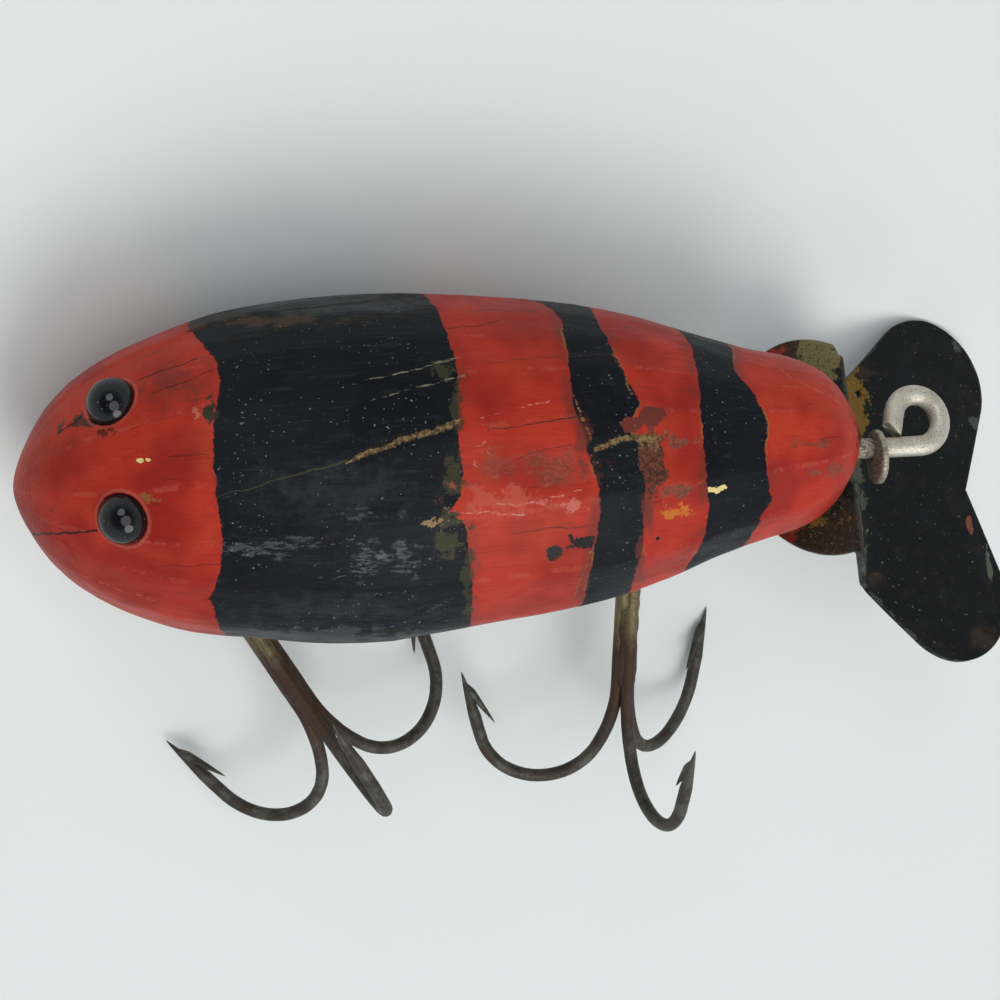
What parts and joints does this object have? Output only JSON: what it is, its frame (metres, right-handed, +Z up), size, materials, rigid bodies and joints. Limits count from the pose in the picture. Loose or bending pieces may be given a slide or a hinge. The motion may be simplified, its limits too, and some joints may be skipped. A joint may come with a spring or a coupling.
{
  "type": "wooden fishing lure",
  "caption": "Carved wooden fishing lure, round-bodied, with bead eyes, a bent two-lobed metal lip, a screw eye for the line and loose treble hooks, lying on its flank.",
  "frame": {"origin": "middle of the small flat on the flank that the lure lies on", "axes": "+Z up as it lies, +X towards the nose and the lip, so the hooks lie on the -Y side"},
  "size_m": [0.1091, 0.0655, 0.0349],
  "materials": {
    "painted_wood": "hand-painted brick red with blue-black bands over carved wood, satin, crazed and worn",
    "eye_glass": "glossy black bead",
    "painted_sheet": "black paint on sheet metal, worn to olive brass and rust at folds and rims",
    "screw_brass": "tarnished brass",
    "plated_wire": "dulled plated wire",
    "hook_steel": "browned steel wire with dull solder at the shank"
  },
  "bodies": {
    "root": {"body": "painted_wood", "eye_left": "eye_glass", "eye_right": "eye_glass", "lip": "painted_sheet", "lip_screw_left": "screw_brass", "lip_screw_right": "screw_brass", "line_tie": "plated_wire", "line_tie_washer": "plated_wire", "hook_hanger_lip_end": "screw_brass", "hook_hanger_eye_end": "screw_brass", "treble_hook_lip_end": "hook_steel", "treble_hook_eye_end": "hook_steel"}
  },
  "joints": []
}
